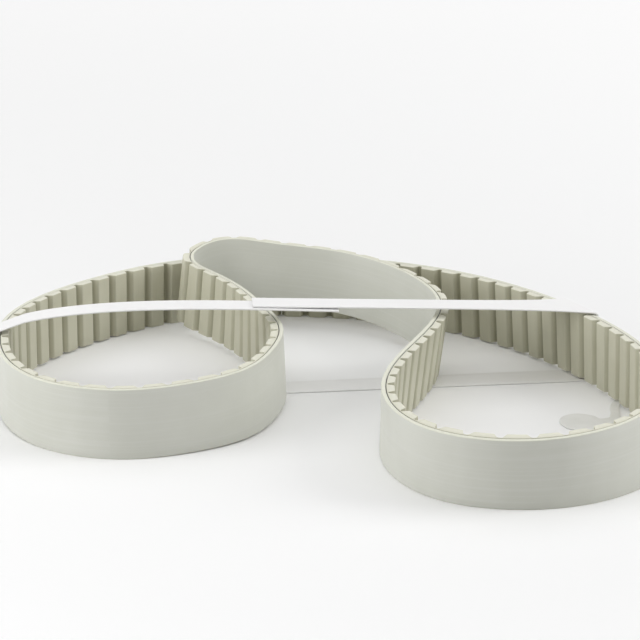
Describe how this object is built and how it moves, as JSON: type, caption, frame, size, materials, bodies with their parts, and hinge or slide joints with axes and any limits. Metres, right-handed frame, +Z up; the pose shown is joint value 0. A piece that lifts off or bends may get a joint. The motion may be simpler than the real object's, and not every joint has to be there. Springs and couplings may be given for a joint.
{
  "type": "timing belt",
  "caption": "Endless toothed timing belt with a smooth back, folded into two lobes and an inner fold, held by a flat strap and carrying a small tag.",
  "frame": {"origin": "middle of the bundle's box, on the surface that it stands on", "axes": "+Z up across the belt's width, +X to the right lobe, +Y to the back run"},
  "size_m": [0.2384, 0.2445, 0.0351],
  "materials": {
    "back": "smooth satin polyurethane",
    "teeth": "satin polyurethane, slightly yellower",
    "cords": "fine steel cord",
    "strap": "white plastic band",
    "tag": "white plastic"
  },
  "bodies": {
    "bundle": {"inner_fold_back": "back", "inner_fold_cords": "cords", "inner_fold_teeth": "teeth", "middle_back_back": "back", "middle_back_cords": "cords", "middle_back_teeth": "teeth", "strap": "strap"},
    "right_front": {"right_front_back": "back", "right_front_cords": "cords", "right_front_teeth": "teeth"},
    "right_end": {"right_end_back": "back", "right_end_cords": "cords", "right_end_teeth": "teeth"},
    "right_back": {"right_back_back": "back", "right_back_cords": "cords", "right_back_teeth": "teeth"},
    "left_front": {"left_front_back": "back", "left_front_cords": "cords", "left_front_teeth": "teeth"},
    "left_end": {"left_end_back": "back", "left_end_cords": "cords", "left_end_teeth": "teeth"},
    "left_back": {"left_back_back": "back", "left_back_cords": "cords", "left_back_teeth": "teeth"},
    "tag": {"tag": "tag"}
  },
  "joints": [
    {"name": "right_sway", "type": "hinge", "parent": "bundle", "child": "right_front", "pos_m": [0.0255, -0.09164, 0.0125], "axis": [0, 0, 1], "range_deg": [-6, 0.25], "stiffness_Nm_per_rad": 0.05},
    {"name": "right_end_flex", "type": "hinge", "parent": "right_front", "child": "right_end", "pos_m": [0.06729, -0.11716, 0.0125], "axis": [0, 0, 1], "range_deg": [-0.25, 6]},
    {"name": "right_back_flex", "type": "hinge", "parent": "right_end", "child": "right_back", "pos_m": [0.05427, 0.09011, 0.0125], "axis": [0, 0, 1], "range_deg": [-6, 0.25]},
    {"name": "left_sway", "type": "hinge", "parent": "bundle", "child": "left_front", "pos_m": [-0.03469, -0.05225, 0.0125], "axis": [0, 0, 1], "range_deg": [-1, 4], "stiffness_Nm_per_rad": 0.05},
    {"name": "left_end_flex", "type": "hinge", "parent": "left_front", "child": "left_end", "pos_m": [-0.08187, -0.06388, 0.0125], "axis": [0, 0, 1], "range_deg": [-4, 1]},
    {"name": "left_back_flex", "type": "hinge", "parent": "left_end", "child": "left_back", "pos_m": [-0.06413, 0.10859, 0.0125], "axis": [0, 0, 1], "range_deg": [-1, 4]},
    {"name": "tag_swing", "type": "hinge", "parent": "right_end", "child": "tag", "pos_m": [0.1075, -0.0005, 0.0125], "axis": [0, 0, 1], "range_deg": [-6, 6]}
  ],
  "couplings": [
    {"joint": "right_end_flex", "follows": "right_sway", "ratio": -1},
    {"joint": "right_back_flex", "follows": "right_sway", "ratio": 1},
    {"joint": "left_end_flex", "follows": "left_sway", "ratio": -1},
    {"joint": "left_back_flex", "follows": "left_sway", "ratio": 1}
  ]
}
